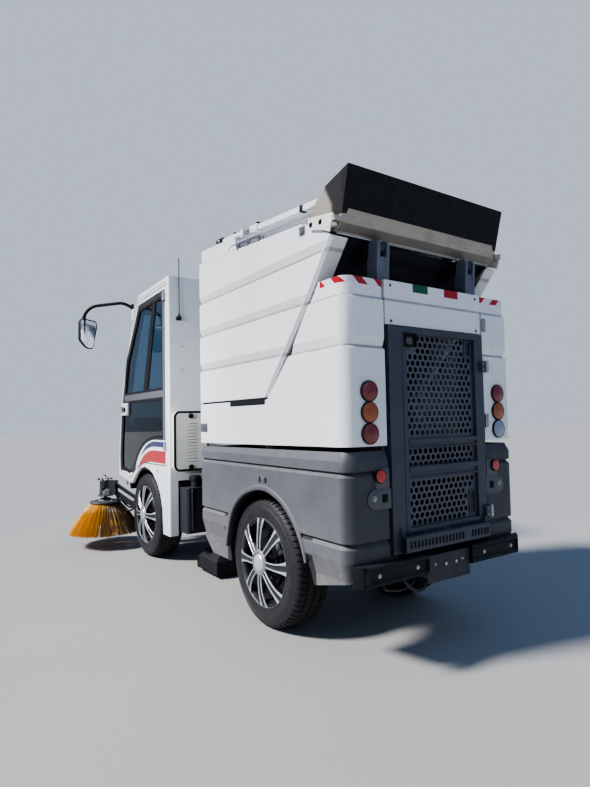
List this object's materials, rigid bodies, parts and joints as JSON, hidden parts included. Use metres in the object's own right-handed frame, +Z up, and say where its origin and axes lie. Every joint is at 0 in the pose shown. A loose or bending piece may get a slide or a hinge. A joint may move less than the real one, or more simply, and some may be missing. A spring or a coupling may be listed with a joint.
{
  "type": "compact street sweeper truck",
  "caption": "Narrow suction street sweeper with a glazed cab, a tipping rear hopper with a steel discharge hood and a lowering side brush at each front corner.",
  "frame": {"origin": "bottom centre of the whole box, on the ground", "axes": "+X forward, +Y to the vehicle's left, +Z up"},
  "size_m": [3.365, 1.78, 2.0999],
  "materials": {
    "white_paint": "gloss",
    "pale_grey_paint": "satin",
    "skirt_plastic": "textured",
    "dark_grey_paint": "satin",
    "frame_paint": "satin",
    "stainless": "brushed",
    "rod_steel": "polished",
    "grille_mesh": "matt",
    "black_plastic": "matt",
    "cream_plastic": "satin",
    "lens": "gloss",
    "glass": "clear",
    "seat_fabric": "woven",
    "black_hose": "matt",
    "tyre": "matt",
    "silver_paint": "metallic",
    "cast_iron": "rough",
    "bristles": "matt"
  },
  "bodies": {
    "chassis": {"chassis_frame": "frame_paint", "front_axle": "frame_paint", "rear_axle": "frame_paint", "cab_frame": "white_paint", "cab_rear_wall": "pale_grey_paint", "cab_floor": "frame_paint", "windscreen": "glass", "seat_base": "seat_fabric", "seat_back": "seat_fabric", "dashboard": "black_plastic", "front_bumper": "black_plastic", "cab_rear_cover": "cream_plastic", "fuel_tank": "black_plastic", "body_covers": "white_paint", "lower_skirts": "skirt_plastic", "hopper_posts": "pale_grey_paint", "engine_block": "cast_iron", "rear_bumper": "black_plastic", "lamps": "lens", "mirrors": "black_plastic", "antenna": "black_plastic", "suction_nozzle": "frame_paint", "suction_duct": "black_hose", "brush_brackets": "frame_paint"},
    "hopper": {"hopper_tub": "stainless", "hopper_side_panels": "white_paint", "hopper_lid": "white_paint"},
    "hood": {"discharge_hood": "stainless"},
    "hood_barrels": {"hood_barrels": "frame_paint"},
    "hood_rods": {"hood_rods": "rod_steel"},
    "rear_door": {"rear_door_frame": "dark_grey_paint", "rear_grille": "grille_mesh"},
    "left_door": {"left_door_frame": "white_paint", "left_door_glass": "glass"},
    "left_knuckle": {"left_knuckle": "frame_paint"},
    "right_door": {"right_door_frame": "white_paint", "right_door_glass": "glass"},
    "right_knuckle": {"right_knuckle": "frame_paint"},
    "front_left_wheel": {"front_left_tyre": "tyre", "front_left_rim": "silver_paint"},
    "front_right_wheel": {"front_right_tyre": "tyre", "front_right_rim": "silver_paint"},
    "rear_left_wheel": {"rear_left_tyre": "tyre", "rear_left_rim": "silver_paint"},
    "rear_right_wheel": {"rear_right_tyre": "tyre", "rear_right_rim": "silver_paint"},
    "left_brush_arm": {"left_brush_arm": "frame_paint"},
    "left_brush_stay": {"left_brush_stay": "frame_paint"},
    "left_brush_holder": {"left_brush_holder": "pale_grey_paint"},
    "left_brush": {"left_brush": "bristles"},
    "right_brush_arm": {"right_brush_arm": "frame_paint"},
    "right_brush_stay": {"right_brush_stay": "frame_paint"},
    "right_brush_holder": {"right_brush_holder": "pale_grey_paint"},
    "right_brush": {"right_brush": "bristles"}
  },
  "joints": [
    {"name": "hopper_tip", "type": "hinge", "parent": "chassis", "child": "hopper", "pos_m": [-1.5855, 0, 1.705], "axis": [0, -1, 0], "range_deg": [0, 90]},
    {"name": "hood_open", "type": "hinge", "parent": "hopper", "child": "hood", "pos_m": [-1.5075, 0, 1.792], "axis": [0, 1, 0], "range_deg": [0, 40]},
    {"name": "hood_barrels_pivot", "type": "hinge", "parent": "hopper", "child": "hood_barrels", "pos_m": [-0.5075, 0, 1.995], "axis": [0, 1, 0], "range_deg": [-4.4, 0]},
    {"name": "hood_rods_slide", "type": "slide", "parent": "hood_barrels", "child": "hood_rods", "axis": [0.9962, 0, 0.087], "range_m": [0, 0.0585]},
    {"name": "rear_door_hinge", "type": "hinge", "parent": "chassis", "child": "rear_door", "pos_m": [-1.6555, -0.312, 0], "axis": [0, 0, 1], "range_deg": [0, 110]},
    {"name": "left_door_hinge", "type": "hinge", "parent": "chassis", "child": "left_door", "pos_m": [0.2905, 0.508, 0], "axis": [0, 0, 1], "range_deg": [0, 80]},
    {"name": "right_door_hinge", "type": "hinge", "parent": "chassis", "child": "right_door", "pos_m": [0.2905, -0.508, 0], "axis": [0, 0, -1], "range_deg": [0, 80]},
    {"name": "left_steer", "type": "hinge", "parent": "chassis", "child": "left_knuckle", "pos_m": [0.8025, 0.345, 0.3], "axis": [0, 0, 1], "range_deg": [-30, 30]},
    {"name": "right_steer", "type": "hinge", "parent": "chassis", "child": "right_knuckle", "pos_m": [0.8025, -0.345, 0.3], "axis": [0, 0, 1], "range_deg": [-30, 30]},
    {"name": "front_left_roll", "type": "hinge", "parent": "left_knuckle", "child": "front_left_wheel", "pos_m": [0.8025, 0.43, 0.3075], "axis": [0, 1, 0], "continuous": true},
    {"name": "front_right_roll", "type": "hinge", "parent": "right_knuckle", "child": "front_right_wheel", "pos_m": [0.8025, -0.43, 0.3075], "axis": [0, 1, 0], "continuous": true},
    {"name": "rear_left_roll", "type": "hinge", "parent": "chassis", "child": "rear_left_wheel", "pos_m": [-0.9415, 0.43, 0.3075], "axis": [0, 1, 0], "continuous": true},
    {"name": "rear_right_roll", "type": "hinge", "parent": "chassis", "child": "rear_right_wheel", "pos_m": [-0.9415, -0.43, 0.3075], "axis": [0, 1, 0], "continuous": true},
    {"name": "left_brush_lower", "type": "hinge", "parent": "chassis", "child": "left_brush_arm", "pos_m": [1.1975, 0.395, 0.3], "axis": [-0.7311, 0.6823, 0], "range_deg": [0, 25.3]},
    {"name": "left_brush_stay_swing", "type": "hinge", "parent": "chassis", "child": "left_brush_stay", "pos_m": [1.1975, 0.395, 0.37], "axis": [-0.7311, 0.6823, 0], "range_deg": [0, 25.3]},
    {"name": "left_brush_level", "type": "hinge", "parent": "left_brush_arm", "child": "left_brush_holder", "pos_m": [1.3375, 0.545, 0.43], "axis": [-0.7311, 0.6823, 0], "range_deg": [-25.3, 0]},
    {"name": "left_brush_spin", "type": "hinge", "parent": "left_brush_holder", "child": "left_brush", "pos_m": [1.3925, 0.6, 0.35], "axis": [0, 0, 1], "continuous": true},
    {"name": "right_brush_lower", "type": "hinge", "parent": "chassis", "child": "right_brush_arm", "pos_m": [1.1975, -0.395, 0.3], "axis": [0.7311, 0.6823, 0], "range_deg": [0, 25.3]},
    {"name": "right_brush_stay_swing", "type": "hinge", "parent": "chassis", "child": "right_brush_stay", "pos_m": [1.1975, -0.395, 0.37], "axis": [0.7311, 0.6823, 0], "range_deg": [0, 25.3]},
    {"name": "right_brush_level", "type": "hinge", "parent": "right_brush_arm", "child": "right_brush_holder", "pos_m": [1.3375, -0.545, 0.43], "axis": [0.7311, 0.6823, 0], "range_deg": [-25.3, 0]},
    {"name": "right_brush_spin", "type": "hinge", "parent": "right_brush_holder", "child": "right_brush", "pos_m": [1.3925, -0.6, 0.35], "axis": [0, 0, 1], "continuous": true}
  ],
  "couplings": [
    {"joint": "hood_barrels_pivot", "follows": "hood_open", "ratio": -0.105},
    {"joint": "hood_rods_slide", "follows": "hood_open", "m_per_rad": 0.0824},
    {"joint": "right_steer", "follows": "left_steer", "ratio": 1},
    {"joint": "left_brush_stay_swing", "follows": "left_brush_lower", "ratio": 1},
    {"joint": "left_brush_level", "follows": "left_brush_lower", "ratio": -1},
    {"joint": "right_brush_stay_swing", "follows": "right_brush_lower", "ratio": 1},
    {"joint": "right_brush_level", "follows": "right_brush_lower", "ratio": -1}
  ]
}
